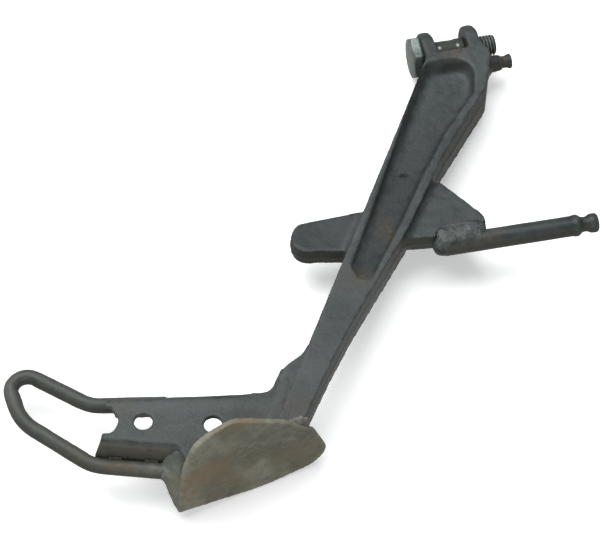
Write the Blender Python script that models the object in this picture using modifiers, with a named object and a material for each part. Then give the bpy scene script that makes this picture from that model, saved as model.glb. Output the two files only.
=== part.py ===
"""Motorcycle side stand (kickstand), left-hand side of the machine, lying on its back.

A forged leg with a two-eared clevis swings on a shoulder bolt. A cross-arm forged with the leg is
the stop on one side and carries the long spring pin on the other. A pressed tang, a sole plate, a
gusset and a bent toe loop are welded to the bottom end.

Design frame, before the lying tilt: origin on the pivot axis between the clevis ears, +X
along the pivot bolt away from its head, +Y from the foot towards the pivot, +Z out of the forging's
pocket face. The stand_pose empty then tips the foot up about the pivot axis, so that the ears and
the sole's edge touch one level surface.
"""

import math

import bmesh
import bpy
from mathutils import Matrix, Vector

MM = 0.001
GAP = 0.3                      # clearance left between pieces that touch
LYING_TILT = math.radians(-5.0)

# Clevis and pivot
EAR_RADIUS = 13.2
SLOT_HEAD_SIDE = -9.9
SLOT_THREAD_SIDE = 7.7
SLOT_ROOT_RADIUS = 15.5
HEAD_EAR_OUTER = -17.3
THREAD_EAR_OUTER = 15.3
POST_SHOULDER = 18.1           # the threaded ear is thicker below the bolt, where the post stands
SHOULDER_RADIUS = 7.0
THREAD_RADIUS = 6.0
BOLT_HOLE_CLEARANCE = 0.3
SPOT_FACE_RADIUS = 13.4        # seat turned for the bolt head beside the leg's shoulder
HEX_ACROSS_FLATS = 22.0
HEX_HEIGHT = 5.5
HEX_TURN = math.radians(11.0)
THREAD_PROJECTION = 10.4

# Forged leg: s runs down the leg from the pivot, t across it
LEG_ANGLE = math.radians(32.0)
LEG_LEFT_EDGE = -8.5
LEG_TOP_HALF_DEPTH = 13.0
LEG_FOOT_HALF_DEPTH = 7.5
LEG_FOOT_Y = -222.0
POCKET_WALL_OFFSET = 2.2
POCKET_TOP_SLOPE = 2.6         # how much further the pocket's upper wall runs out at its floor
WEB_HALF_THICKNESS = 5.4       # pocket floor and cross-arm lie at the same level

# Spring anchors
POST_Y = -14.0
POST_LENGTH = 13.1
PIN_RADIUS = 5.5
PIN_START = (-40.3, -131.9)
PIN_ANGLE = math.radians(-1.9)
PIN_LENGTH = 84.5

# Foot
PLATE_TOP = 4.0
PLATE_THICKNESS = 2.9
LIP_BOTTOM = -12.5
LIP_BEND_RADIUS = 4.0
LOWER_LIP = ((-234.5, -210.1), (-200.6, -221.4))    # where the flat turns into each lip
UPPER_LIP = ((-229.4, -192.2), (-158.0, -205.4))
TANG_HOLE_RADIUS = 4.65
TANG_HOLES = ((-213.0, -206.8), (-179.7, -215.9))
SOLE_THICKNESS = 3.5
SOLE_TIP = (-204.0, -242.5)
SOLE_ANGLE = math.radians(11.8)
ROD_RADIUS = 4.0
ROD_LEVEL = -11.5

PLATE_UNDERSIDE = PLATE_TOP - PLATE_THICKNESS

PAINT = (0.085, 0.098, 0.100)
TANG_PAINT = (0.100, 0.118, 0.125)
WORN_STEEL = (0.130, 0.120, 0.095)
ZINC = (0.33, 0.35, 0.31)
WELD = (0.21, 0.21, 0.18)


# ---------------------------------------------------------------- scene and materials

def clear_scene():
    for scene_object in list(bpy.data.objects):
        bpy.data.objects.remove(scene_object, do_unlink=True)


def new_collection(name):
    collection = bpy.data.collections.new(name)
    bpy.context.scene.collection.children.link(collection)
    return collection


def make_material(name, colour, roughness, metallic):
    material = bpy.data.materials.new(name)
    material.use_nodes = True
    shader = material.node_tree.nodes["Principled BSDF"]
    shader.inputs["Base Color"].default_value = (*colour, 1.0)
    shader.inputs["Roughness"].default_value = roughness
    shader.inputs["Metallic"].default_value = metallic
    return material


clear_scene()
parts = new_collection("kickstand")
cutters = new_collection("cutters")

stand_pose = bpy.data.objects.new("stand_pose", None)
stand_pose.rotation_euler.x = LYING_TILT
parts.objects.link(stand_pose)


# ---------------------------------------------------------------- outlines

def rounded_path(corners, closed=True, steps=5):
    """Corner points (x, y, radius) as a list of points, each corner turned into an arc."""
    count = len(corners)
    path = []
    for index, corner in enumerate(corners):
        point = Vector(corner[:2])
        radius = corner[2] if len(corner) > 2 else 0.0
        is_end = not closed and index in (0, count - 1)
        if radius == 0.0 or is_end:
            path.append(point)
            continue
        to_previous = (Vector(corners[index - 1][:2]) - point).normalized()
        to_next = (Vector(corners[(index + 1) % count][:2]) - point).normalized()
        half_angle = to_previous.angle(to_next) / 2
        bisector = (to_previous + to_next).normalized()
        centre = point + bisector * (radius / math.sin(half_angle))
        start = point + to_previous * (radius / math.tan(half_angle)) - centre
        end = point + to_next * (radius / math.tan(half_angle)) - centre
        turn = start.angle_signed(end)
        for step in range(steps + 1):
            path.append(centre + Matrix.Rotation(-turn * step / steps, 2) @ start)
    return path


def inset_outline(points, distance):
    """The closed outline moved inwards by a distance; the points run anticlockwise."""
    count = len(points)
    moved = []
    for index, point in enumerate(points):
        before = (point - points[index - 1]).normalized()
        after = (points[(index + 1) % count] - point).normalized()
        normal_before = Vector((-before.y, before.x))
        normal_after = Vector((-after.y, after.x))
        mitre = (normal_before + normal_after).normalized()
        moved.append(point + mitre * (distance / mitre.dot(normal_before)))
    return moved


def leg_point(along, across):
    """A point of the leg's plane from its distances down the leg and across it."""
    down = Vector((-math.sin(LEG_ANGLE), -math.cos(LEG_ANGLE)))
    side = Vector((math.cos(LEG_ANGLE), -math.sin(LEG_ANGLE)))
    return down * along + side * across


def sole_inner_y(x, clearance=0.0):
    """The y of the sole's inner face at x, with a clearance in front of it."""
    distance = SOLE_THICKNESS + clearance
    return SOLE_TIP[1] + (x - SOLE_TIP[0]) * math.tan(SOLE_ANGLE) + distance / math.cos(SOLE_ANGLE)


# ---------------------------------------------------------------- solids

def add_object(name, mesh, material=None):
    """Links a mesh in millimetres as a part of the stand, or as a cutter when it has no material."""
    mesh.transform(Matrix.Scale(MM, 4))
    solid = bpy.data.objects.new(name, mesh)
    if material is None:
        cutters.objects.link(solid)
        solid.display_type = "WIRE"
        solid.hide_render = True
    else:
        parts.objects.link(solid)
        mesh.materials.append(material)
    solid.parent = stand_pose
    return solid


def curve_to_mesh(curve, name):
    """The evaluated mesh of a curve, with its loose caps welded on."""
    holder = bpy.data.objects.new(name, curve)
    parts.objects.link(holder)
    evaluated = holder.evaluated_get(bpy.context.evaluated_depsgraph_get())
    mesh = bpy.data.meshes.new_from_object(evaluated)
    mesh.name = name
    bpy.data.objects.remove(holder, do_unlink=True)
    bpy.data.curves.remove(curve)
    form = bmesh.new()
    form.from_mesh(mesh)
    bmesh.ops.remove_doubles(form, verts=form.verts, dist=0.001)
    bmesh.ops.recalc_face_normals(form, faces=form.faces)
    form.to_mesh(mesh)
    form.free()
    return mesh


def prism_mesh(name, points, bottom, top):
    """A flat outline in XY made solid between two levels."""
    curve = bpy.data.curves.new(name, "CURVE")
    curve.dimensions = "2D"
    curve.fill_mode = "BOTH"
    curve.extrude = (top - bottom) / 2
    spline = curve.splines.new("POLY")
    spline.points.add(len(points) - 1)
    for spline_point, point in zip(spline.points, points):
        spline_point.co = (point[0], point[1], 0.0, 1.0)
    spline.use_cyclic_u = True
    mesh = curve_to_mesh(curve, name)
    mesh.transform(Matrix.Translation((0.0, 0.0, (top + bottom) / 2)))
    return mesh


def rod_mesh(name, points, radius, sides=2):
    """A round rod with flat ends along a list of 3-D points."""
    curve = bpy.data.curves.new(name, "CURVE")
    curve.dimensions = "3D"
    curve.bevel_depth = radius
    curve.bevel_resolution = sides
    curve.use_fill_caps = True
    spline = curve.splines.new("POLY")
    spline.points.add(len(points) - 1)
    for spline_point, point in zip(spline.points, points):
        spline_point.co = (*point, 1.0)
    return curve_to_mesh(curve, name)


def loft_mesh(name, rings):
    """A closed solid through rings of equal length, with a flat face on the first and last."""
    form = bmesh.new()
    rows = [[form.verts.new(point) for point in ring] for ring in rings]
    for lower, upper in zip(rows, rows[1:]):
        for index in range(len(lower)):
            following = (index + 1) % len(lower)
            form.faces.new((lower[index], lower[following], upper[following], upper[index]))
    form.faces.new(rows[0])
    form.faces.new(rows[-1])
    bmesh.ops.recalc_face_normals(form, faces=form.faces)
    mesh = bpy.data.meshes.new(name)
    form.to_mesh(mesh)
    form.free()
    return mesh


def turned_part(name, profile, material, location, angle=0.0, steps=32):
    """A turned piece along X: the profile lists (x, radius) from its far end back to its start."""
    form = bmesh.new()
    previous = None
    for along, radius in profile:
        vertex = form.verts.new((radius, 0.0, along))
        if previous is not None:
            form.edges.new((previous, vertex))
        previous = vertex
    mesh = bpy.data.meshes.new(name)
    form.to_mesh(mesh)
    form.free()
    solid = add_object(name, mesh, material)
    screw = solid.modifiers.new("turn", "SCREW")
    screw.axis = "Z"
    screw.steps = steps
    screw.render_steps = steps
    screw.use_merge_vertices = True
    screw.merge_threshold = 0.00001
    solid.location = Vector(location) * MM
    solid.rotation_euler = (0.0, math.radians(90.0), angle)
    return solid


def cylinder_cutter(name, radius, start, end, segments=32):
    """A cutter along X between two x positions, on the pivot axis."""
    form = bmesh.new()
    lie_along_x = Matrix.Translation(((start + end) / 2, 0.0, 0.0)) @ Matrix.Rotation(math.pi / 2, 4, "Y")
    bmesh.ops.create_cone(form, cap_ends=True, segments=segments, radius1=radius, radius2=radius,
                          depth=end - start, matrix=lie_along_x)
    mesh = bpy.data.meshes.new(name)
    form.to_mesh(mesh)
    form.free()
    return add_object(name, mesh)


def box_cutter(name, low, high):
    form = bmesh.new()
    bmesh.ops.create_cube(form, size=1.0)
    mesh = bpy.data.meshes.new(name)
    form.to_mesh(mesh)
    form.free()
    size = Vector(high) - Vector(low)
    middle = (Vector(high) + Vector(low)) / 2
    mesh.transform(Matrix.Translation(middle) @ Matrix.Diagonal((*size, 1.0)))
    return add_object(name, mesh)


def boolean(solid, tool, operation):
    modifier = solid.modifiers.new(f"{operation.lower()}_{tool.name}", "BOOLEAN")
    modifier.operation = operation
    modifier.solver = "EXACT"
    modifier.object = tool


# ---------------------------------------------------------------- forged leg

def leg_outline():
    """The leg and both ears seen along Z, anticlockwise from the head-side ear's top."""
    corners = [
        (HEAD_EAR_OUTER, EAR_RADIUS + 2),
        (HEAD_EAR_OUTER, -11.4, 8.0),
    ]
    foot_left = leg_point(250.0, LEG_LEFT_EDGE)
    slope = (foot_left - leg_point(100.0, LEG_LEFT_EDGE)).normalized()
    while foot_left.y > sole_inner_y(foot_left.x, GAP):
        foot_left += slope * 0.05
    corners.append((foot_left.x, foot_left.y))
    right_edge = ((258.0, 4.9), (229.8, 6.4), (203.3, 8.6), (179.1, 11.8), (133.5, 17.9), (83.2, 20.6),
                  (45.1, 26.3), (27.2, 29.0))
    radii = (0.0, 60.0, 60.0, 60.0, 60.0, 60.0, 30.0, 9.0)
    foot_right = leg_point(*right_edge[0])
    while foot_right.y > sole_inner_y(foot_right.x, GAP):
        foot_right += slope * 0.05
    corners.append((foot_right.x, foot_right.y))
    for (along, across), radius in zip(right_edge[1:], radii[1:]):
        point = leg_point(along, across)
        corners.append((point.x, point.y, radius))
    corners.append((POST_SHOULDER, -17.0, 5.0))
    corners.append((POST_SHOULDER, -13.0, 3.0))
    corners.append((THREAD_EAR_OUTER, -7.0, 3.0))
    corners.append((THREAD_EAR_OUTER, EAR_RADIUS + 2))
    return rounded_path(corners, steps=3)


def side_profile():
    """The leg seen along X as (y, z): round ears, then a depth that tapers to the foot."""
    upper = []
    arc_steps = 14
    for step in range(arc_steps + 1):
        angle = math.pi / 2 * step / arc_steps
        upper.append((EAR_RADIUS * math.cos(angle), EAR_RADIUS * math.sin(angle)))
    upper.append((-22.0, LEG_TOP_HALF_DEPTH - 0.4))
    upper.append((LEG_FOOT_Y, LEG_FOOT_HALF_DEPTH))
    upper.append((LEG_FOOT_Y - 20.0, LEG_FOOT_HALF_DEPTH))
    lower = [(y, -z) for y, z in reversed(upper) if z > 0.001]
    return upper + lower


def cross_arm():
    """Stop arm on the head side, spring web on the other, forged in one with the leg."""
    stop_arm = [(-60.0, -103.0), (-106.0, -104.4, 11.0), (-117.4, -107.5, 9.0), (-118.0, -123.2, 9.0),
                (-104.2, -124.7), (-94.0, -127.4), (-78.0, -130.0)]
    spring_web = [(-57.0, -127.2), (-43.0, -129.0), (-41.2, -125.2), (-14.2, -125.2), (-14.5, -120.0, 6.0),
                  (-30.8, -94.0), (-48.0, -90.0)]
    outline = rounded_path(stop_arm + spring_web, steps=4)
    return prism_mesh("cross_arm", outline, -WEB_HALF_THICKNESS, WEB_HALF_THICKNESS)


def pocket_outline():
    """The pocket's rim on the leg's face, anticlockwise."""
    left = LEG_LEFT_EDGE + 4.3
    corners = [(-19.6, -15.6, 10.0)]
    for along, across, radius in ((168.0, left, 4.0), (176.5, 4.0, 5.0), (172.0, 10.4, 3.0),
                                  (130.0, 13.6, 40.0), (103.3, 14.5, 40.0), (65.5, 17.4, 40.0),
                                  (34.0, 23.6, 12.0)):
        point = leg_point(along, across)
        corners.append((point.x, point.y, radius))
    corners.append((9.2, -15.4, 11.0))
    return rounded_path(corners, steps=4)


def pocket_cutter(side):
    """A tapered plug that leaves a pocket with sloping walls; side is +1 for the face, -1 for the back."""
    rim = pocket_outline()
    rim_level = 12.0
    outer_level = 16.0
    slope = POCKET_WALL_OFFSET / (rim_level - WEB_HALF_THICKNESS)
    rings = []
    for level in (WEB_HALF_THICKNESS, outer_level):
        ring = inset_outline(rim, (rim_level - level) * slope)
        run_out = POCKET_TOP_SLOPE * (rim_level - level) / (rim_level - WEB_HALF_THICKNESS)
        for point in ring:
            nearness = min(1.0, max(0.0, (point.y + 42.0) / 24.0))
            point.y -= run_out * nearness
        rings.append([(point.x, point.y, side * level) for point in ring])
    return add_object(f"pocket_{'face' if side > 0 else 'back'}", loft_mesh("pocket", rings))


def build_leg():
    paint = make_material("forged_paint", PAINT, 0.55, 0.0)
    leg = add_object("leg_forging", prism_mesh("leg_forging", leg_outline(), -16.0, 16.0), paint)
    profile = prism_mesh("leg_side_profile", side_profile(), -210.0, 60.0)
    profile.transform(Matrix(((0, 0, 1, 0), (1, 0, 0, 0), (0, 1, 0, 0), (0, 0, 0, 1))))
    boolean(leg, add_object("leg_side_profile", profile), "INTERSECT")
    boolean(leg, add_object("cross_arm", cross_arm()), "UNION")
    slot_root = cylinder_cutter("slot_root", SLOT_ROOT_RADIUS, SLOT_HEAD_SIDE, SLOT_THREAD_SIDE, 48)
    slot_mouth = box_cutter("slot_mouth", (SLOT_HEAD_SIDE, 0.0, -20.0), (SLOT_THREAD_SIDE, 30.0, 20.0))
    boolean(leg, slot_root, "DIFFERENCE")
    boolean(leg, slot_mouth, "DIFFERENCE")
    head_hole = cylinder_cutter("head_ear_hole", SHOULDER_RADIUS + BOLT_HOLE_CLEARANCE,
                                HEAD_EAR_OUTER - 5.0, 0.0)
    thread_hole = cylinder_cutter("thread_ear_hole", THREAD_RADIUS + BOLT_HOLE_CLEARANCE,
                                  0.0, THREAD_EAR_OUTER + 5.0)
    spot_face = cylinder_cutter("head_spot_face", SPOT_FACE_RADIUS,
                                HEAD_EAR_OUTER - 15.0, HEAD_EAR_OUTER, 40)
    boolean(leg, spot_face, "DIFFERENCE")
    boolean(leg, head_hole, "DIFFERENCE")
    boolean(leg, thread_hole, "DIFFERENCE")
    boolean(leg, pocket_cutter(1), "DIFFERENCE")
    boolean(leg, pocket_cutter(-1), "DIFFERENCE")


# ---------------------------------------------------------------- pivot bolt and spring anchors

def build_bolt():
    """Hexagon head, plain shoulder through the lug, and a thread through the far ear."""
    zinc = make_material("zinc_steel", ZINC, 0.38, 0.9)
    head_under = HEAD_EAR_OUTER - GAP
    shoulder_end = SLOT_THREAD_SIDE - GAP
    tip = THREAD_EAR_OUTER + THREAD_PROJECTION
    chamfer = 0.9
    shank_start = head_under - 1.0
    profile = [(tip, 0.0), (tip, THREAD_RADIUS - chamfer), (tip - chamfer, THREAD_RADIUS),
               (shoulder_end, THREAD_RADIUS), (shoulder_end, SHOULDER_RADIUS - 0.4),
               (shoulder_end - 0.4, SHOULDER_RADIUS), (shank_start, SHOULDER_RADIUS), (shank_start, 0.0)]
    bolt = turned_part("pivot_bolt", profile, zinc, (0.0, 0.0, 0.0), steps=36)
    hexagon = bmesh.new()
    flat_radius = HEX_ACROSS_FLATS / 2
    corner_radius = flat_radius / math.cos(math.pi / 6)
    head_middle = Matrix.Translation((0.0, 0.0, head_under - HEX_HEIGHT / 2))
    head_middle = head_middle @ Matrix.Rotation(HEX_TURN, 4, "Z")
    bmesh.ops.create_cone(hexagon, cap_ends=True, segments=6, radius1=corner_radius,
                          radius2=corner_radius, depth=HEX_HEIGHT, matrix=head_middle)
    head_mesh = bpy.data.meshes.new("hex_head")
    hexagon.to_mesh(head_mesh)
    hexagon.free()
    head = add_object("hex_head", head_mesh)
    head.rotation_euler = bolt.rotation_euler
    boolean(bolt, head, "UNION")
    top_round = [(head_under + 6.0, 0.0), (head_under + 6.0, corner_radius + 3.0),
                 (head_under - HEX_HEIGHT + 1.6, corner_radius + 0.4),
                 (head_under - HEX_HEIGHT, flat_radius - 0.4), (head_under - HEX_HEIGHT, 0.0)]
    return bolt, top_round


def chamfer_head(bolt, top_round):
    """Turns the outer corners of the hexagon down with a coned envelope."""
    end = THREAD_EAR_OUTER + THREAD_PROJECTION + 2.0
    wide = top_round[1][1]
    profile = [(end, 0.0), (end, wide)] + top_round[1:]
    envelope = turned_part("head_envelope", profile, None, (0.0, 0.0, 0.0), steps=36)
    boolean(bolt, envelope, "INTERSECT")


def build_spring_post():
    """Short post on the threaded ear, with a flared foot, a groove and a flared tip."""
    paint = make_material("post_paint", PAINT, 0.5, 0.0)
    length = POST_LENGTH
    profile = [(length, 0.0), (length, 3.9), (length - 0.7, 4.2), (length - 2.2, 3.6), (length - 3.4, 3.4),
               (length - 5.6, 3.4), (length - 6.6, 4.4), (3.2, 4.5), (1.2, 5.2), (0.0, 6.4), (0.0, 0.0)]
    start = (POST_SHOULDER + GAP, POST_Y, 0.0)
    turned_part("upper_spring_post", profile, paint, start, steps=28)


def build_spring_pin():
    """Long pin that carries the return springs' hook behind its head."""
    paint = make_material("pin_paint", PAINT, 0.45, 0.0)
    length = PIN_LENGTH
    radius = PIN_RADIUS
    profile = [(length, 0.0), (length, 4.2), (length - 1.0, 5.2), (length - 4.0, 5.2), (length - 6.0, 4.0),
               (length - 8.4, 4.0), (length - 10.4, 5.6), (length - 12.0, 5.9), (length - 13.6, radius),
               (1.0, radius), (0.0, radius - 1.0), (0.0, 0.0)]
    turned_part("long_spring_pin", profile, paint, (*PIN_START, 0.0), angle=PIN_ANGLE, steps=28)


# ---------------------------------------------------------------- foot

def lip_mesh(name, start, end, side, start_rake, end_rake):
    """One edge of the tang rolled down: a quarter bend and a straight lip, between two points.

    The rakes slant the lip's ends, so that it grows longer or shorter towards its free edge.
    """
    along = (Vector(end) - Vector(start)).normalized()
    outward = Vector((-along.y, along.x)) * side
    inner_radius = LIP_BEND_RADIUS - PLATE_THICKNESS
    bend_centre = PLATE_TOP - LIP_BEND_RADIUS
    steps = 4
    section = [(-2.0, PLATE_TOP)]
    for step in range(steps + 1):
        angle = math.pi / 2 * (1 - step / steps)
        section.append((LIP_BEND_RADIUS * math.cos(angle), bend_centre + LIP_BEND_RADIUS * math.sin(angle)))
    section.append((LIP_BEND_RADIUS, LIP_BOTTOM))
    section.append((inner_radius, LIP_BOTTOM))
    for step in range(steps + 1):
        angle = math.pi / 2 * step / steps
        section.append((inner_radius * math.cos(angle), bend_centre + inner_radius * math.sin(angle)))
    section.append((-2.0, PLATE_UNDERSIDE))
    start_ring = []
    for offset, level in section:
        slant = along * start_rake * (level - PLATE_TOP)
        start_ring.append((*(Vector(start) + outward * offset + slant), level))
    end_ring = []
    for offset, level in section:
        slant = along * end_rake * (level - PLATE_TOP)
        end_ring.append((*(Vector(end) + outward * offset + slant), level))
    return loft_mesh(name, [start_ring, end_ring])


def build_tang():
    """Channel pressing between leg, sole and loop, with two fixing holes and a notched end."""
    paint = make_material("tang_paint", TANG_PAINT, 0.5, 0.0)
    leg_side = leg_point(228.0, LEG_LEFT_EDGE - GAP)
    leg_foot = leg_point(252.0, LEG_LEFT_EDGE - GAP)
    while leg_foot.y > sole_inner_y(leg_foot.x, GAP):
        leg_foot += (leg_foot - leg_side).normalized() * 0.05
    corners = [
        (*UPPER_LIP[0],), (-226.4, -195.9, 3.0), (-224.4, -203.2, 4.0), (-227.8, -208.8, 4.0),
        (*LOWER_LIP[0],), (*LOWER_LIP[1],), (-195.5, sole_inner_y(-195.5, GAP)),
        (leg_foot.x, leg_foot.y), (leg_side.x, leg_side.y), (-140.2, -191.4, 2.5), (-148.2, -203.8, 6.0),
        (-157.3, -202.0), (*UPPER_LIP[1],),
    ]
    outline = rounded_path(corners, steps=4)
    tang = add_object("tang_plate", prism_mesh("tang_plate", outline, PLATE_UNDERSIDE, PLATE_TOP), paint)
    lower_lip = lip_mesh("lower_lip", *LOWER_LIP, -1, 0.25, 0.0)
    upper_lip = lip_mesh("upper_lip", *UPPER_LIP, 1, -0.25, 0.8)
    boolean(tang, add_object("lower_lip", lower_lip), "UNION")
    boolean(tang, add_object("upper_lip", upper_lip), "UNION")
    for number, centre in enumerate(TANG_HOLES, start=1):
        ring = [Vector(centre) + Vector((math.cos(a), math.sin(a))) * TANG_HOLE_RADIUS
                for a in (math.tau * k / 32 for k in range(32))]
        boolean(tang, add_object(f"tang_hole_{number}", prism_mesh("tang_hole", ring, -20.0, 20.0)),
                "DIFFERENCE")


def build_sole():
    """Sole plate that meets the ground, standing across the bottom of the leg."""
    steel = make_material("worn_steel", WORN_STEEL, 0.65, 0.3)
    corners = [(0.0, -30.0, 1.5), (5.6, 8.0, 30.0), (11.4, 22.4, 9.0), (20.2, 30.4, 8.0), (31.0, 33.4, 9.0),
               (60.0, 13.5, 50.0), (75.0, -2.5, 14.0), (82.5, -24.0, 8.0), (75.0, -32.5, 8.0),
               (48.0, -36.0, 60.0)]
    outline = rounded_path(corners, steps=4)
    mesh = prism_mesh("foot_sole", outline, -SOLE_THICKNESS, 0.0)
    along = Vector((math.cos(SOLE_ANGLE), math.sin(SOLE_ANGLE), 0.0))
    outward = Vector((math.sin(SOLE_ANGLE), -math.cos(SOLE_ANGLE), 0.0))
    stand_up = Matrix((along, Vector((0.0, 0.0, 1.0)), outward)).transposed().to_4x4()
    mesh.transform(Matrix.Translation((*SOLE_TIP, 0.0)) @ stand_up)
    sole = add_object("foot_sole", mesh, steel)
    bevel = sole.modifiers.new("edge_round", "BEVEL")
    bevel.width = 0.7 * MM
    bevel.segments = 2
    bevel.limit_method = "ANGLE"
    bevel.angle_limit = math.radians(50.0)


def build_gusset():
    """Curved wall that carries the tang's lower lip down to the sole's tip."""
    steel = make_material("gusset_steel", WORN_STEEL, 0.6, 0.2)
    top = PLATE_UNDERSIDE - GAP
    tang_low = Vector((-205.4, -229.0, -16.4))
    tang_high = Vector((-198.4, -226.6, top))
    sole_low = Vector((-201.8, sole_inner_y(-201.8, 0.9), -28.6))
    sole_high = Vector((-197.0, sole_inner_y(-197.0, 0.9), top))
    hollow = Vector((-1.0, 0.0, 1.0))
    steps = 6
    form = bmesh.new()
    rows = []
    for step in range(steps + 1):
        share = step / steps
        bow = hollow * (4 * share * (1 - share))
        low = tang_low.lerp(sole_low, share) + bow
        high = tang_high.lerp(sole_high, share) + Vector((bow.x, 0.0, 0.0))
        rows.append([form.verts.new(low.lerp(high, height / 3)) for height in range(4)])
    for row, following in zip(rows, rows[1:]):
        for index in range(3):
            form.faces.new((row[index], row[index + 1], following[index + 1], following[index]))
    mesh = bpy.data.meshes.new("sole_gusset")
    form.to_mesh(mesh)
    form.free()
    gusset = add_object("sole_gusset", mesh, steel)
    thicken = gusset.modifiers.new("thickness", "SOLIDIFY")
    thicken.thickness = 2.6 * MM
    thicken.offset = 0.0


def build_toe_loop():
    """Bent rod that the rider's toe pushes, welded outside both lips of the tang."""
    steel = make_material("loop_paint", PAINT, 0.5, 0.0)
    route = [(-208.0, -228.4), (-241.2, -217.5, 20.0), (-272.0, -183.0, 28.0), (-276.3, -144.8, 8.0),
             (-236.2, -181.9, 20.0), (-198.0, -189.6)]
    points = [(point.x, point.y, ROD_LEVEL) for point in rounded_path(route, closed=False, steps=9)]
    add_object("toe_loop", rod_mesh("toe_loop", points, ROD_RADIUS, sides=4), steel)


# ---------------------------------------------------------------- weld beads

def build_weld(name, start, end, radius):
    """A short bead laid in the corner between two pieces."""
    add_object(name, rod_mesh(name, [start, end], radius), weld_metal)


def build_welds():
    pin_direction = Vector((math.cos(PIN_ANGLE), math.sin(PIN_ANGLE), 0.0))
    pin_side = Vector((-pin_direction.y, pin_direction.x, 0.0))
    pin_start = Vector((*PIN_START, 0.0))
    bead = 2.0
    for name, side in (("weld_pin_face", 1), ("weld_pin_back", -1)):
        offset = pin_side * 4.6 + Vector((0.0, 0.0, side * 7.0))
        first = pin_start + pin_direction * 1.5 + offset
        build_weld(name, first, first + pin_direction * 21.5, bead)

    bead = 1.6
    beside_leg = LEG_LEFT_EDGE - bead - GAP
    leg_top = leg_point(231.0, beside_leg)
    leg_end = leg_point(258.0, beside_leg)
    for name, level in (("weld_leg_tang_face", PLATE_TOP + bead + GAP),
                        ("weld_leg_tang_back", PLATE_UNDERSIDE - bead - GAP)):
        build_weld(name, (*leg_top, level), (*leg_end, level), bead)

    bead = 1.8
    above_sole = bead + GAP
    for name, side in (("weld_leg_sole_face", 1), ("weld_leg_sole_back", -1)):
        level = side * (LEG_FOOT_HALF_DEPTH + above_sole)
        build_weld(name, (-149.0, sole_inner_y(-149.0, above_sole), level),
                   (-134.0, sole_inner_y(-134.0, above_sole), level), bead)
    tang_level = PLATE_TOP + above_sole
    build_weld("weld_tang_sole", (-192.0, sole_inner_y(-192.0, above_sole), tang_level),
               (-158.0, sole_inner_y(-158.0, above_sole), tang_level), bead)
    build_weld("weld_gusset_sole", (-193.2, sole_inner_y(-193.2, above_sole), -18.0),
               (-191.4, sole_inner_y(-191.4, above_sole), -4.0), bead)

    bead = 1.2
    for edge, start, end, side in (("lower", *LOWER_LIP, -1), ("upper", *UPPER_LIP, 1)):
        along = (Vector(end) - Vector(start)).normalized()
        outward = Vector((-along.y, along.x)) * side * (LIP_BEND_RADIUS + bead + GAP)
        level = ROD_LEVEL + ROD_RADIUS + 0.9
        for place, distance in (("toe", 3.0), ("foot", 21.0)):
            first = Vector(start) + along * distance + outward
            last = first + along * 7.5
            build_weld(f"weld_loop_{edge}_{place}", (*first, level), (*last, level), bead)


build_leg()
bolt_blank, head_profile = build_bolt()
chamfer_head(bolt_blank, head_profile)
build_spring_post()
build_spring_pin()
build_tang()
build_sole()
build_gusset()
build_toe_loop()
weld_metal = make_material("weld_metal", WELD, 0.5, 0.4)
build_welds()
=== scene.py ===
"""Looks of a used motorcycle side stand, lying on a pale floor.

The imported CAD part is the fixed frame. Each steel piece gets a dense, worn body of its own in the
same place: a forged leg with softened corners, a rolled tang, a scraped sole plate, a bent toe
loop, turned spring anchors, a threaded pivot bolt and rippled weld beads.

Design frame, in millimetres: origin on the pivot axis between the ears, +X along the bolt
away from its head, +Y from the foot towards the pivot, +Z out of the pocket face. The part lies
tipped about the pivot axis, so world() turns design points into the row frame.
"""

import math

import bmesh
import bpy
import numpy as np
from mathutils import Matrix, Vector, noise

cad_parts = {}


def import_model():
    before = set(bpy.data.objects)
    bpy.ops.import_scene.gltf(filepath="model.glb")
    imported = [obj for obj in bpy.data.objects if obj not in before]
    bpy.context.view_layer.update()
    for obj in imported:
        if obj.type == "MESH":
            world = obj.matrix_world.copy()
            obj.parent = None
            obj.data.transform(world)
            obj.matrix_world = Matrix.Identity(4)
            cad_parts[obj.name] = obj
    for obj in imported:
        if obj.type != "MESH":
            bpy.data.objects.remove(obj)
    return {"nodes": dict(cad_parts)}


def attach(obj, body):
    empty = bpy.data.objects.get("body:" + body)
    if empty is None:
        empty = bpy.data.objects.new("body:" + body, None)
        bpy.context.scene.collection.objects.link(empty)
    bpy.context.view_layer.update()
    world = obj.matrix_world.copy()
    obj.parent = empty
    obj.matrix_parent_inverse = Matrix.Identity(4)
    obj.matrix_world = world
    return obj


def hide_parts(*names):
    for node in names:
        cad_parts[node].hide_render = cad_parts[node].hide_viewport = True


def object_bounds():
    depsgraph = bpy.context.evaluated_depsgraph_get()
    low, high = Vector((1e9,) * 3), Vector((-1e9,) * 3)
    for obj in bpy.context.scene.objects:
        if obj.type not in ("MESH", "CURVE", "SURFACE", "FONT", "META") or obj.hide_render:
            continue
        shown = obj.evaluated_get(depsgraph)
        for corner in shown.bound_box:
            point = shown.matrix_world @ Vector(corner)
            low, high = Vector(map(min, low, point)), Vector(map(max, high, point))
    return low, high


MM = 0.001
HOLLOW = 0.015  # millimetres that a point lies below its neighbours in an inner corner
LYING_TILT = math.radians(-5.0)
TILT = np.array(Matrix.Rotation(LYING_TILT, 3, "X"))

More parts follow.
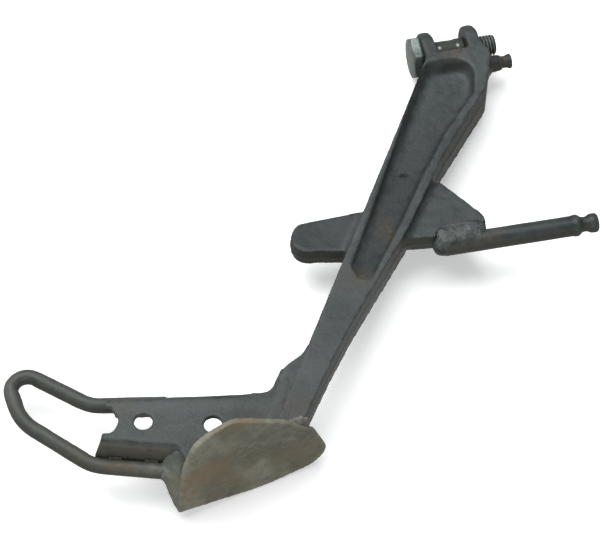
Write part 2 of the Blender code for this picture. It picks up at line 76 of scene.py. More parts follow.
# The leg's own directions: s runs down it from the pivot, t across it
LEG_ANGLE = math.radians(32.0)
LEG_DOWN = np.array((-math.sin(LEG_ANGLE), -math.cos(LEG_ANGLE)))
LEG_SIDE = np.array((math.cos(LEG_ANGLE), -math.sin(LEG_ANGLE)))
LEG_LEFT_EDGE = -8.5
LEG_RIGHT_EDGE = ((0.0, 31.0), (27.2, 29.0), (45.1, 26.3), (83.2, 20.6), (133.5, 17.9),
                  (179.1, 11.8), (203.3, 8.6), (229.8, 6.4), (258.0, 4.9))
LEG_FACE_TOP = 12.6
LEG_FACE_FOOT = 7.5
LEG_TAPER_START = -22.0
LEG_TAPER_RUN = 200.0
ARM_FACE = 5.4
PUNCH_MARK = (-48.9, -85.1, ARM_FACE)

# Pivot bolt
HEAD_EAR_OUTER = -17.3
THREAD_EAR_OUTER = 15.3
POST_SHOULDER = 18.1
SLOT_HEAD_SIDE = -9.9
HEAD_UNDER = HEAD_EAR_OUTER - 0.3
HEX_APOTHEM = 11.0
HEX_HEIGHT = 5.5
HEX_TURN = math.radians(11.0)
SHOULDER_RADIUS = 7.0
SHOULDER_END = 7.4
THREAD_RADIUS = 6.0
THREAD_PITCH = 1.75
BOLT_TIP = 25.7

# Spring anchors
POST_Y = -14.0
POST_LENGTH = 13.1
PIN_START = (-40.3, -131.9)
PIN_ANGLE = math.radians(-1.9)
PIN_LENGTH = 84.5
PIN_RADIUS = 5.5

# Foot
PLATE_TOP = 4.0
LIP_OUTER = 4.0
LOWER_LIP = ((-234.5, -210.1), (-200.6, -221.4))
UPPER_LIP = ((-229.4, -192.2), (-158.0, -205.4))
SOLE_THICKNESS = 3.5
SOLE_TIP = (-204.0, -242.5)
SOLE_ANGLE = math.radians(11.8)
ROD_RADIUS = 4.0
ROD_LEVEL = -11.5
ROD_ROUTE = ((-204.6, -228.9, 0.0), (-241.0, -216.9, 22.0), (-272.0, -183.0, 28.0),
             (-276.3, -144.8, 8.0), (-236.2, -181.9, 20.0), (-198.0, -189.6, 0.0))

# Camera, its aim and its upward direction in the design frame, and its lens
CAMERA_PLACE = (-270.27, -803.02, 920.0)
CAMERA_AIM = (-116.23, -130.43, 0.0)
CAMERA_UP = (178.6, 779.8, 600.0)
CAMERA_LENS = 132.69

# Studio surround, below and above the horizon
SURROUND_LOW = (0.60, 0.60, 0.57)
SURROUND_HIGH = (0.19, 0.205, 0.21)
# Colour for painted shade in the pockets and a darker tone elsewhere, where the 'dark' label says
DARK_TONE_AND_SHADE = (0.007, 0.009, 0.010)


# -------- frames and small helpers

def world(points):
    """Design millimetres to row-frame metres."""
    return np.asarray(points, float) @ TILT.T * MM


def design(points):
    """Row-frame metres to design millimetres."""
    return np.asarray(points, float) / MM @ TILT


def leg_point(along, across):
    return LEG_DOWN * along + LEG_SIDE * across


def sole_face_y(x, depth=0.0):
    """The y of the sole's ground face at x, or of a layer some depth behind it."""
    return SOLE_TIP[1] + (x - SOLE_TIP[0]) * math.tan(SOLE_ANGLE) + depth / math.cos(SOLE_ANGLE)


def behind_sole(x, gap, level):
    """A point some gap behind the sole's back face."""
    return (x, sole_face_y(x, SOLE_THICKNESS + gap), level)


def smoothstep(low, high, value):
    share = np.clip((value - low) / (high - low), 0.0, 1.0)
    return share * share * (3.0 - 2.0 * share)


def bump_at(points, centre, spread):
    """A soft bell of height 1 round a point; spread is one radius or one for each axis."""
    offset = (points - np.array(centre)) / np.array(spread)
    return np.exp(-(offset ** 2).sum(axis=1))


def spots(points, entries):
    """The sum of soft bells, each given as (strength, centre, spread)."""
    return sum(strength * bump_at(points, centre, spread) for strength, centre, spread in entries)


def grain(points, size, octaves=3, seed=0.0):
    """Fractal noise over points, about -1 to 1, with features of a size in millimetres."""
    shift = Vector((seed, -seed * 0.7, seed * 1.3))
    values = [noise.fractal(Vector(point) / size + shift, 0.8, 2.1, octaves) for point in points]
    return np.array(values)


def around(sides):
    """Angles spread evenly round a circle."""
    return np.arange(sides) * math.tau / sides


def arc_length(path):
    """Each point's distance from the path's start, along it."""
    return np.concatenate([[0.0], np.cumsum(np.linalg.norm(np.diff(path, axis=0), axis=1))])


# -------- surfaces as arrays

class Surface:
    """A mesh's points in design millimetres with what is needed to sculpt them."""

    def __init__(self, mesh):
        self.mesh = mesh
        count = len(mesh.vertices)
        flat = np.empty(count * 3)
        mesh.vertices.foreach_get("co", flat)
        self.points = design(flat.reshape(-1, 3))
        links = np.empty(len(mesh.edges) * 2, int)
        mesh.edges.foreach_get("vertices", links)
        self.first, self.second = links.reshape(-1, 2).T
        self.count = count
        self.valence = np.bincount(links, minlength=count).astype(float)

    def average(self, values):
        """Each point's mean over its neighbours."""
        if values.ndim == 2:
            return np.stack([self.average(column) for column in values.T], axis=1)
        total = np.bincount(self.first, values[self.second], self.count)
        total += np.bincount(self.second, values[self.first], self.count)
        return total / self.valence

    def relax(self, values, steps, weight=1.0):
        """Values evened out over the surface, more where the weight is higher."""
        pull = 0.5 * np.broadcast_to(weight, (self.count,))
        if values.ndim == 2:
            pull = pull[:, None]
        for _ in range(steps):
            values = values + pull * (self.average(values) - values)
        return values

    def smooth(self, steps, weight=1.0):
        self.points = self.relax(self.points, steps, weight)

    def store(self):
        self.mesh.vertices.foreach_set("co", world(self.points).ravel())
        self.mesh.update()

    def normals(self):
        self.store()
        flat = np.empty(self.count * 3)
        self.mesh.vertex_normals.foreach_get("vector", flat)
        return flat.reshape(-1, 3) @ TILT

    def convexity(self, spread=2):
        """Positive on outer corners, negative in inner ones, in millimetres."""
        normals = self.normals()
        outward = ((self.points - self.average(self.points)) * normals).sum(axis=1)
        return self.relax(outward, spread)

    def push(self, amounts):
        """Moves the points along their normals."""
        self.points = self.points + self.normals() * np.asarray(amounts)[:, None]

    def label(self, name, values):
        """Stores a value from 0 to 1 on each point, for a material to read."""
        attribute = self.mesh.attributes.new(name, "FLOAT", "POINT")
        attribute.data.foreach_set("value", np.clip(values, 0.0, 1.0).astype(np.float32))

    def labels(self, rust=0.0, pale=0.0, dark=0.0):
        for name, values in (("rust", rust), ("pale", pale), ("dark", dark)):
            self.label(name, np.broadcast_to(values, (self.count,)))


def link(name, data):
    """A new object in the scene."""
    thing = bpy.data.objects.new(name, data)
    bpy.context.scene.collection.objects.link(thing)
    return thing


def capsule(start, end, start_radius, end_radius):
    """A closed tapered round bar between two design points, to blend into a dense surface."""
    start, end = np.array(start, float), np.array(end, float)
    ahead = (end - start) / np.linalg.norm(end - start)
    across = np.cross(ahead, (0.13, 0.31, 0.94))
    across /= np.linalg.norm(across)
    upward = np.cross(across, ahead)
    angles = around(24)
    circle = np.outer(np.cos(angles), across) + np.outer(np.sin(angles), upward)
    rings = []
    for place, radius, bulges in ((start, start_radius, (-0.95, -0.8, -0.5, 0.0)),
                                  (end, end_radius, (0.0, 0.5, 0.8, 0.95))):
        rings += [place + ahead * radius * bulge + circle * radius * math.sqrt(1.0 - bulge * bulge)
                  for bulge in bulges]
    return grid_surface("blend_bar", rings).mesh


def chain(places, radii):
    """Round bars from place to place, with a radius at each."""
    return [capsule(*ends, *girths) for ends, girths in zip(zip(places, places[1:]),
                                                            zip(radii, radii[1:]))]


def melted(meshes, voxel):
    """One closed surface of even small faces round all the meshes."""
    together = bmesh.new()
    for mesh in meshes:
        together.from_mesh(mesh)
    joined = bpy.data.meshes.new("melt_source")
    together.to_mesh(joined)
    together.free()
    source = link("melt_source", joined)
    remesh = source.modifiers.new("even_faces", "REMESH")
    remesh.mode = "VOXEL"
    remesh.voxel_size = voxel * MM
    evaluated = source.evaluated_get(bpy.context.evaluated_depsgraph_get())
    mesh = bpy.data.meshes.new_from_object(evaluated)
    bpy.data.objects.remove(source, do_unlink=True)
    return Surface(mesh)


def dense_surface(node, voxel, *extras):
    """A CAD node, with any meshes blended into it, as one dense surface."""
    return melted([frame["nodes"][node].data, *extras], voxel)


def soften(surface, outer_steps, inner_steps):
    """Rounds outer corners a little and fills inner corners with wide fillets."""
    surface.smooth(outer_steps)
    inner = (surface.convexity() < -HOLLOW).astype(float)
    inner = np.clip(surface.relax(inner, 8) * 3.0, 0.0, 1.0)
    surface.smooth(inner_steps, inner)


def label_wear(surface, edge_gain=9.0):
    """Marks worn outer corners, dust-holding inner ones and steep walls for painted shading; returns the
    points.
    """
    convexity = surface.convexity(4)
    steep = 1.0 - smoothstep(0.30, 0.80, np.abs(surface.normals()[:, 2]))
    # Painted shading: steep walls are marked to take the dust colour in the paint
    surface.label("painted_wall_shading", surface.relax(steep, 3))
    surface.label("edge", convexity * edge_gain)
    surface.label("recess", surface.relax(np.clip(-convexity, 0.0, None), 6) * 9.0)
    return surface.points


def finish_piece(surface, name, material, node, body="stand"):
    """Turns a sculpted surface into a named piece on its body."""
    surface.store()
    piece = link(name, surface.mesh)
    surface.mesh.shade_smooth()
    surface.mesh.materials.clear()
    surface.mesh.materials.append(material)
    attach(piece, body)
    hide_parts(node)
    return piece


def grid_surface(name, rings):
    """A closed surface through rings of equal length, its ends closed to a point each."""
    rings = np.asarray(rings, float)
    rows, columns = rings.shape[:2]
    points = np.vstack([rings.reshape(-1, 3), rings[0].mean(axis=0), rings[-1].mean(axis=0)])
    start_pole, end_pole = rows * columns, rows * columns + 1
    faces = []
    for column in range(columns):
        following = (column + 1) % columns
        faces.append((start_pole, following, column))
        last = (rows - 1) * columns
        faces.append((end_pole, last + column, last + following))
        for row in range(0, last, columns):
            faces.append((row + column, row + following,
                          row + columns + following, row + columns + column))
    mesh = bpy.data.meshes.new(name)
    mesh.from_pydata([tuple(point) for point in world(points)], [], faces)
    mesh.update()
    return Surface(mesh)


def turned_ring(x, radii, angles):
    """A ring round the X axis, with one radius or one for each angle."""
    return np.stack([np.full(len(angles), x), radii * np.cos(angles), radii * np.sin(angles)], axis=1)


def turned_surface(name, profile, sides=72, spacing=0.35):
    """A turned piece along X from (x, radius) pairs; sharp corners stay sharp."""
    profile = resampled(np.array(profile, float), spacing)
    return grid_surface(name, [turned_ring(x, radius, around(sides)) for x, radius in profile])


def resampled(route, spacing):
    """The points of a polyline, its corners kept, with more between them."""
    points = [route[0]]
    for start, end in zip(route, route[1:]):
        steps = max(1, int(np.linalg.norm(end - start) / spacing))
        points += [start + (end - start) * step / steps for step in range(1, steps + 1)]
    return np.array(points)


def evenly(corners, count):
    """A number of points spread evenly along a polyline."""
    line = resampled(np.array(corners), 1.0)
    return line[(np.linspace(0.0, 1.0, count) * (len(line) - 1)).astype(int)]


def rounded_route(corners, spacing):
    """A flat route whose corners (x, y, radius) are arcs, as even points."""
    path = [np.array(corners[0][:2])]
    for before, corner, after in zip(corners, corners[1:], corners[2:]):
        point = Vector(corner[:2])
        radius = corner[2]
        to_before = (Vector(before[:2]) - point).normalized()
        to_after = (Vector(after[:2]) - point).normalized()
        half = to_before.angle(to_after) / 2
        centre = point + (to_before + to_after).normalized() * (radius / math.sin(half))
        start = point + to_before * (radius / math.tan(half)) - centre
        turn = start.angle_signed(point + to_after * (radius / math.tan(half)) - centre)
        steps = max(4, int(abs(turn) * radius / spacing))
        for step in range(steps + 1):
            path.append(np.array(centre + Matrix.Rotation(-turn * step / steps, 2) @ start))
    path.append(np.array(corners[-1][:2]))
    return resampled(np.array(path), spacing)


def swept_rings(path, radii, sides):
    """Rings of a tube round a path; radii holds one radius for each ring and side."""
    path = np.asarray(path, float)
    ahead = np.gradient(path, axis=0)
    ahead /= np.linalg.norm(ahead, axis=1)[:, None]
    across = np.cross(ahead, (0.0, 0.0, 1.0))
    across /= np.linalg.norm(across, axis=1)[:, None]
    upward = np.cross(across, ahead)
    angles = around(sides)
    ring = across[:, None] * np.cos(angles)[:, None] + upward[:, None] * np.sin(angles)[:, None]
    return path[:, None] + ring * radii[:, :, None]


# -------- materials

class Nodes:
    """A shader node tree built by short calls that return sockets."""

    def __init__(self, tree):
        self.tree = tree
        self.places = self.node("TexCoord").outputs

    def node(self, kind, inputs=None):
        node = self.tree.nodes.new("ShaderNode" + kind)
        self.feed(node, inputs or {})
        return node

    def feed(self, node, inputs):
        """Links sockets to a node's inputs and sets the constants on them directly."""
        for name, value in inputs.items():
            if isinstance(value, bpy.types.NodeSocket):
                self.tree.links.new(value, node.inputs[name])
            elif isinstance(value, tuple):
                node.inputs[name].default_value = (*value, 1.0)
            else:
                node.inputs[name].default_value = value

    def noise(self, size, detail, roughness, distortion=0.0, scale=None, turn=None):
        """Noise from 0 to 1 with features of a size in millimetres."""
        place = self.places["Object"]
        if scale is not None:
            place = self.node("Mapping", {"Vector": place, "Scale": scale, "Rotation": turn}).outputs[0]
        node = self.node("TexNoise", {"Vector": place, "Scale": 1.0 / (size * MM), "Detail": detail,
                                      "Roughness": roughness, "Distortion": distortion})
        return node.outputs["Fac"]

    def label(self, name):
        node = self.node("Attribute")
        node.attribute_name = name
        return node.outputs["Fac"]

    def math(self, operation, first, second, clamp=False):
        node = self.node("Math", {0: first, 1: second})
        node.operation = operation
        node.use_clamp = clamp
        return node.outputs[0]

    def times(self, first, second):
        return self.math("MULTIPLY", first, second, clamp=True)

    def spread(self, value, low, high, to_low=0.0, to_high=1.0):
        """A value's range turned into another, clamped and eased."""
        node = self.node("MapRange", {"Value": value, "From Min": low, "From Max": high,
                                      "To Min": to_low, "To Max": to_high})
        node.interpolation_type = "SMOOTHSTEP"
        return node.outputs["Result"]

    def patches(self, name, pattern, low, high, to_low=0.0):
        """A label broken up by a pattern."""
        return self.times(self.label(name), self.spread(pattern, low, high, to_low))

    def mix(self, share, first, second):
        node = self.node("Mix")
        node.data_type = "RGBA"
        self.feed(node, {"Factor": share, 6: first, 7: second})
        return node.outputs[2]

    def bump(self, height, distance, normal=None):
        """A bump whose height from 0 to 1 stands for a distance in millimetres."""
        node = self.node("Bump", {"Strength": 1.0, "Distance": distance * MM, "Height": height})
        if normal is not None:
            self.feed(node, {"Normal": normal})
        return node.outputs["Normal"]


class Shader(Nodes):
    """A material's node tree."""

    def __init__(self, name, colour):
        self.material = bpy.data.materials.new(name)
        self.material.use_nodes = True
        super().__init__(self.material.node_tree)
        self.surface = self.tree.nodes["Principled BSDF"]
        self.colour = colour

    def coat(self, share, colour):
        """Lays a share of a colour over what is there."""
        self.colour = self.mix(share, self.colour, colour)

    def finish(self, roughness, normal, metallic, specular):
        self.feed(self.surface, {"Base Color": self.colour, "Roughness": roughness,
                                 "Normal": normal, "Metallic": metallic,
                                 "Specular IOR Level": specular})
        return self.material


def painted_steel(name, dark, light, wear_and_light, dust_and_shading, rust, roughness, grain_depth, rub_share,
                  speckle, wall_shading_share=0.6):
    """Old black paint on steel: mottled, rubbed on corners, dusty in hollows, rusty where marked."""
    shader = Shader(name, dark)
    broad = shader.noise(38.0, 3.0, 0.5)
    mottle = shader.noise(5.0, 5.0, 0.62)
    fine = shader.noise(1.1, 3.0, 0.6)
    tone = shader.math("ADD", shader.times(broad, 0.5), shader.times(mottle, 0.5))
    shader.coat(shader.spread(tone, 0.36, 0.64), light)
    shader.coat(shader.spread(fine, 0.52, 0.72, 0.0, 0.55), light)
    # Painted shade and darker tone, where the 'dark' label says
    shader.coat(shader.times(shader.label("dark"), 0.7), DARK_TONE_AND_SHADE)

    # Painted light and shade on steep walls: they take the dust colour, lighter than most of the paints
    shaded_walls = shader.patches("painted_wall_shading", mottle, 0.25, 0.55, 0.5)
    shader.coat(shader.times(shaded_walls, wall_shading_share), dust_and_shading)
    dusty = shader.patches("recess", mottle, 0.30, 0.60)
    shader.coat(shader.times(dusty, 0.45), dust_and_shading)

    patchy = shader.math("ADD", mottle, shader.times(fine, 0.35))
    patchy = shader.spread(patchy, 0.50, 0.85)
    rubbed = shader.times(shader.label("edge"), shader.math("ADD", 0.35, patchy))
    shader.coat(shader.times(rubbed, rub_share), wear_and_light)
    # Pale where the 'pale' label says: real scuffs, and painted light on a leg wall, the leg fillet, a
    # tang band and weld glints
    scuffs_and_painted_light = shader.times(shader.label("pale"), shader.math("ADD", 0.5, patchy))
    shader.coat(scuffs_and_painted_light, wear_and_light)

    rusted = shader.patches("rust", shader.noise(3.2, 6.0, 0.68), 0.34, 0.62)
    specks = shader.spread(shader.noise(1.6, 4.0, 0.7), 0.66, 0.74)
    rusted = shader.math("MAXIMUM", rusted, shader.times(specks, speckle))
    shader.coat(rusted, rust)

    rough = shader.spread(mottle, 0.3, 0.7, roughness - 0.07, roughness + 0.09)
    rough = shader.math("ADD", rough, shader.times(rusted, 0.18))
    rough = shader.math("SUBTRACT", rough, shader.times(rubbed, 0.08))
    normal = shader.bump(mottle, grain_depth * 1.3, shader.bump(fine, grain_depth))
    shine = shader.spread(shader.label("dark"), 0.0, 1.0, 0.30, 0.12)
    return shader.finish(rough, normal, 0.0, shine)


def scraped_sole():
    """Bare steel that drags on the road: olive brown, rusty in places, scraped pale in others."""
    shader = Shader("scraped_sole_steel", (0.126, 0.119, 0.085))
    broad = shader.noise(24.0, 4.0, 0.55)
    mottle = shader.noise(5.0, 6.0, 0.65)
    scrape = shader.noise(5.0, 5.0, 0.66, 0.8, scale=[0.85, 1.0, 1.15], turn=[0.0, 0.6, 0.2])
    fine = shader.noise(0.9, 3.0, 0.6)
    shader.coat(shader.spread(broad, 0.38, 0.62), (0.220, 0.217, 0.174))
    shader.coat(shader.spread(mottle, 0.46, 0.70, 0.0, 0.55), (0.098, 0.098, 0.080))
    rusted = shader.patches("rust", mottle, 0.32, 0.56)
    shader.coat(shader.times(rusted, 0.95), (0.205, 0.142, 0.078))
    scraped = shader.patches("pale", scrape, 0.44, 0.66)
    shader.coat(shader.times(scraped, 0.7), (0.235, 0.245, 0.225))
    rubbed = shader.patches("edge", fine, 0.3, 0.6)
    shader.coat(shader.times(rubbed, 0.6), (0.265, 0.235, 0.175))
    rough = shader.spread(mottle, 0.3, 0.7, 0.56, 0.76)
    rough = shader.math("SUBTRACT", rough, shader.times(scraped, 0.10))
    normal = shader.bump(scrape, 0.05, shader.bump(fine, 0.05))
    normal = shader.bump(mottle, 0.17, normal)
    return shader.finish(rough, normal, 0.0, 0.4)


def dull_zinc():
    """Old zinc plating: greenish grey, half metal, with dark grease and painted shade where the 'recess'
    label says.
    """
    shader = Shader("dull_zinc_plate", (0.155, 0.186, 0.176))
    broad = shader.noise(7.0, 4.0, 0.6)
    mottle = shader.noise(1.8, 5.0, 0.65)
    shader.coat(shader.spread(broad, 0.35, 0.65), (0.285, 0.325, 0.308))
    shader.coat(shader.spread(mottle, 0.50, 0.72, 0.0, 0.55), (0.070, 0.078, 0.064))
    # Grease and painted shade, where the 'recess' label says
    grease_and_shade = shader.label("recess")
    shader.coat(shader.times(grease_and_shade, 0.92), (0.018, 0.021, 0.018))
    shader.coat(shader.patches("rust", mottle, 0.38, 0.60), (0.10, 0.08, 0.052))
    # Painted glints, near white, where the 'pale' label says
    shader.coat(shader.label("pale"), (0.75, 0.78, 0.74))
    metal = shader.math("SUBTRACT", 0.65, shader.times(grease_and_shade, 0.62))
    shine = shader.spread(grease_and_shade, 0.0, 1.0, 0.5, 0.12)
    rough = shader.spread(mottle, 0.3, 0.7, 0.38, 0.56)
    return shader.finish(rough, shader.bump(mottle, 0.05), metal, shine)


def weld_steel():
    """Weld metal under worn paint: dark in the ripples, a little brighter on their crests."""
    shader = Shader("weld_bead_steel", (0.024, 0.029, 0.029))
    broad = shader.noise(6.0, 4.0, 0.6)
    fine = shader.noise(0.9, 4.0, 0.65)
    shader.coat(shader.spread(broad, 0.38, 0.62), (0.052, 0.060, 0.058))
    rubbed = shader.patches("edge", fine, 0.42, 0.66)
    shader.coat(shader.times(rubbed, 0.7), (0.130, 0.142, 0.140))
    # Painted glints where the 'pale' label says
    shader.coat(shader.patches("pale", fine, 0.40, 0.66), (0.34, 0.37, 0.37))
    shader.coat(shader.patches("rust", fine, 0.35, 0.6), (0.105, 0.085, 0.052))
    rough = shader.spread(fine, 0.3, 0.7, 0.42, 0.64)
    return shader.finish(rough, shader.bump(fine, 0.10), 0.15, 0.35)


def make_materials():
    """The finishes of the stand."""
    rust = (0.082, 0.062, 0.040)
    # Dust for hollows, also laid on steep walls as painted shading
    dust_and_shading = (0.056, 0.053, 0.041)
    return {
        "forged": painted_steel(
            "forged_leg_paint", (0.024, 0.030, 0.0315), (0.051, 0.060, 0.061),
            (0.092, 0.103, 0.102), dust_and_shading, rust, roughness=0.50, grain_depth=0.19, rub_share=0.25,
            speckle=0.35, wall_shading_share=0.40),
        "tang": painted_steel(
            "tang_paint_worn", (0.019, 0.0237, 0.023), (0.050, 0.060, 0.059),
            (0.075, 0.087, 0.083), (0.100, 0.098, 0.080), rust, roughness=0.47,
            grain_depth=0.22, rub_share=0.5, speckle=0.45, wall_shading_share=1.0),
        "loop": painted_steel(
            "toe_loop_paint", (0.043, 0.047, 0.043), (0.070, 0.075, 0.067),
            (0.105, 0.110, 0.100), dust_and_shading, (0.088, 0.066, 0.042), roughness=0.50,
            grain_depth=0.08, rub_share=0.5, speckle=0.3),
        "anchor": painted_steel(
            "spring_anchor_paint", (0.016, 0.0205, 0.0205), (0.030, 0.037, 0.037),
            (0.075, 0.085, 0.083), dust_and_shading, rust, roughness=0.46, grain_depth=0.05,
            rub_share=0.55, speckle=0.1),
        # Light olive: the gusset's own colour, partly painted light on its down-facing wall
        "gusset": painted_steel(
            "sole_gusset_olive_and_painted_light", (0.066, 0.074, 0.067), (0.118, 0.126, 0.114),
            (0.115, 0.116, 0.100), dust_and_shading, (0.175, 0.163, 0.124), roughness=0.55,
            grain_depth=0.12, rub_share=0.5, speckle=0.3, wall_shading_share=0.0),
        "sole": scraped_sole(), "zinc": dull_zinc(), "weld": weld_steel()}


# -------- forged leg

class LegPlaces:
    """Where each point of the forging lies: along the leg, across it, and in its pockets."""

    def __init__(self, points):
        self.along = points[:, :2] @ LEG_DOWN
        self.across = points[:, :2] @ LEG_SIDE
        self.height = points[:, 2]
        fallen = (LEG_TAPER_START - points[:, 1]) * (LEG_FACE_TOP - LEG_FACE_FOOT) / LEG_TAPER_RUN
        self.depth = LEG_FACE_TOP - fallen - np.abs(self.height)
        self.right_wall = np.interp(self.along, *zip(*LEG_RIGHT_EDGE))
        self.in_pocket = smoothstep(LEG_LEFT_EDGE + 5.0, LEG_LEFT_EDGE + 8.0, self.across)
        self.in_pocket *= 1.0 - smoothstep(self.right_wall - 4.6, self.right_wall - 3.0, self.across)


def lift_pockets(surface, leg):
    """Lets the pocket floors climb gently to the faces at their lower end."""
    climb = smoothstep(150.0, 181.0, leg.along) * (1.0 - smoothstep(185.0, 190.0, leg.along))
    rise = np.clip(leg.depth, 0.0, None) * leg.in_pocket * climb
    surface.points[:, 2] += np.sign(leg.height) * rise * 0.62


def forge_walls(surface, leg):
    """Gives the outer walls draft and a ground-off flash line; returns where they are."""
    wall = 1.0 - smoothstep(0.35, 0.75, np.abs(surface.normals()[:, 2]))
    outer = np.maximum(smoothstep(leg.right_wall - 2.2, leg.right_wall - 0.8, leg.across),
                       1.0 - smoothstep(LEG_LEFT_EDGE + 0.8, LEG_LEFT_EDGE + 2.2, leg.across))
    outer *= wall * smoothstep(26.0, 34.0, leg.along)
    flash = np.exp(-(leg.height / 1.2) ** 2) * 0.32
    flash *= 0.9 + 0.2 * grain(surface.points, 14.0, 2, 3.0)
    surface.push(outer * (flash - np.abs(leg.height) * 0.055))
    return outer


def mark_leg(surface):
    """Forged skin, smoother on the machined ears, and dents from use."""
    points = surface.points
    skin = 0.060 * grain(points, 1.9, 3, 1.0) + 0.07 * grain(points, 12.0, 2, 5.0)
    machined = smoothstep(-9.0, -5.0, points[:, 1]) * (1.0 - smoothstep(8.0, 10.0, np.abs(points[:, 0])))
    skin *= 1.0 - 0.7 * machined
    skin -= spots(points, (
        (1.30, PUNCH_MARK, (2.0, 1.0, 2.5)),
        (0.45, (-66.0, -121.0, ARM_FACE), (1.6, 1.2, 2.5)),
        (0.55, (-88.5, -147.5, 7.0), (2.6, 1.6, 3.0)),
        (0.28, (-33.0, -104.0, ARM_FACE), (2.8, 1.8, 2.5)),
        (0.25, (-27.5, -112.5, ARM_FACE), (3.4, 2.2, 2.5)),
        (0.24, (-96.0, -113.0, ARM_FACE), (3.4, 2.2, 2.5)),
        (0.28, (-109.0, -117.0, ARM_FACE), (2.4, 3.0, 2.5)),
        (0.22, (-81.0, -117.0, ARM_FACE), (2.4, 1.6, 2.5))))
    surface.push(skin)


def build_leg(materials):
    """The forging: softened corners, drafted walls, skin, dents and wear."""
    wide_root = capsule((2.0, POST_Y, 0.0), (11.5, POST_Y, 0.0), 10.0, 9.4)
    slim_root = capsule((14.0, POST_Y, 0.0), (19.4, POST_Y, 0.0), 6.4, 4.7)
    arm_corner = (-109.8, -107.2, 0.4)
    arm_edge = capsule(arm_corner, (-89.3, -107.3, 0.4), 4.9, 4.9)
    arm_end = capsule(arm_corner, (-111.5, -112.3, 0.4), 4.9, 4.9)
    surface = dense_surface("leg_forging", 0.7, wide_root, slim_root, arm_edge, arm_end)
    soften(surface, 5, 38)
    leg = LegPlaces(surface.points)
    in_ear = smoothstep(1.0, 6.0, surface.points[:, 1])
    surface.smooth(22, in_ear)
    lift_pockets(surface, leg)
    outer = forge_walls(surface, leg)
    mark_leg(surface)

    points = label_wear(surface)
    rust = spots(points, (
        (1.5, (-1.0, -12.0, 11.0), (6.0, 3.5, 3.5)),
        (0.75, (-90.0, -148.0, 7.0), (9.0, 6.0, 6.0)),
        (0.55, (-68.0, -122.0, 5.4), (5.0, 15.0, 4.0)),
        (0.5, (-140.0, -221.0, 6.0), (11.0, 13.0, 9.0)),
        (0.35, (-120.0, -196.0, 2.0), (7.0, 20.0, 6.0))))
    rust += 0.25 * outer * bump_at(points, (14.0, -40.0, 0.0), (14.0, 42.0, 12.0))
    pale = spots(points, (
        (0.45, (-92.5, -141.0, 7.0), (1.2, 1.2, 3.0)),
        (0.30, (4.5, -14.5, 11.5), (6.0, 1.6, 3.0))))
    # Painted light on the lower right outer wall, near the foot
    pale += 0.9 * outer * smoothstep(135.0, 175.0, leg.along) * (leg.across > 0.0)
    # Painted shade: darker pocket floors and a dark wall at the pocket's top end; the label also darkens
    # the left arm and the punch mark
    sunk = smoothstep(0.8, 2.5, leg.depth) * leg.in_pocket
    in_top_wall = smoothstep(0.2, 1.2, leg.depth) * (points[:, 1] < -15.0)
    dark = 0.50 * sunk * smoothstep(40.0, 120.0, leg.along)
    dark += 1.0 * bump_at(points, (-4.0, -19.0, 9.0), (16.0, 3.5, 5.0)) * in_top_wall
    left_arm = 1.0 - smoothstep(LEG_LEFT_EDGE - 6.0, LEG_LEFT_EDGE - 2.0, leg.across)
    dark += 0.40 * left_arm * (points[:, 1] < -60.0)
    dark += 0.9 * bump_at(points, PUNCH_MARK, (2.2, 1.2, 2.5))
    surface.labels(rust, pale, dark)
    finish_piece(surface, "forged_leg", materials["forged"], "leg_forging")


# -------- bolt and spring anchors

def turned_bolt():
    """Hexagon head with turned corners, worn shoulder and a real helical thread."""
    sides = 144
    angles = around(sides)
    sector = np.mod(angles - HEX_TURN, math.tau / 6) - math.tau / 12
    hexagon = HEX_APOTHEM / np.cos(sector)
    rings = []

    def ring(x, radii):
        rings.append(turned_ring(x, radii, angles))

    outer_face = HEAD_UNDER - HEX_HEIGHT
    cone_slope = math.tan(math.radians(28.0))
    crown = HEX_APOTHEM - 0.2
    for radius in (1.5, 4.0, 7.0, 9.5):
        ring(outer_face + 0.12, radius)
    ring(outer_face, crown - 0.2)
    for step in range(22):
        depth = 0.05 + 0.13 * step
        cone = crown + depth / cone_slope
        ring(outer_face + depth, np.minimum(hexagon, cone))
    for share in (0.45, 0.6, 0.75, 0.9, 0.985):
        ring(outer_face + HEX_HEIGHT * share, hexagon - (0.12 if share > 0.95 else 0.0))
    ring(HEAD_UNDER - 0.25, np.minimum(hexagon, HEX_APOTHEM - 0.6))
    ring(HEAD_UNDER, HEX_APOTHEM - 0.9)
    ring(HEAD_UNDER, SHOULDER_RADIUS + 0.1)
    fresh = SHOULDER_RADIUS - 0.02
    rubbed = SHOULDER_RADIUS - 0.12
    wear_start, wear_end, step_up = -9.4, 2.6, 2.9
    shoulder = ((HEAD_UNDER + 0.15, rubbed), (wear_start, rubbed), (wear_end, SHOULDER_RADIUS - 0.45),
                (step_up, fresh), (SHOULDER_END - 0.4, fresh),
                (SHOULDER_END, SHOULDER_RADIUS - 0.4), (SHOULDER_END, THREAD_RADIUS - 0.9))
    for x, radius in resampled(np.array(shoulder), 0.5):
        ring(x, radius)
    thread_depth = 0.92
    runout = 0.15
    spacing = 0.1
    steps = int((BOLT_TIP - SHOULDER_END - runout) / spacing)
    for step in range(1, steps + 1):
        x = SHOULDER_END + runout + spacing * step
        turn = np.mod(x / THREAD_PITCH - angles / math.tau, 1.0)
        crest = np.clip(1.25 - np.abs(turn - 0.5) * 3.2, 0.0, 1.0)
        chamfer = THREAD_RADIUS - 1.0 + (BOLT_TIP - x)
        ring(x, np.minimum(THREAD_RADIUS - thread_depth * (1.0 - crest), chamfer))
    ring(BOLT_TIP, THREAD_RADIUS - 1.2)
    ring(BOLT_TIP, 1.5)
    return grid_surface("pivot_bolt_finish", rings)


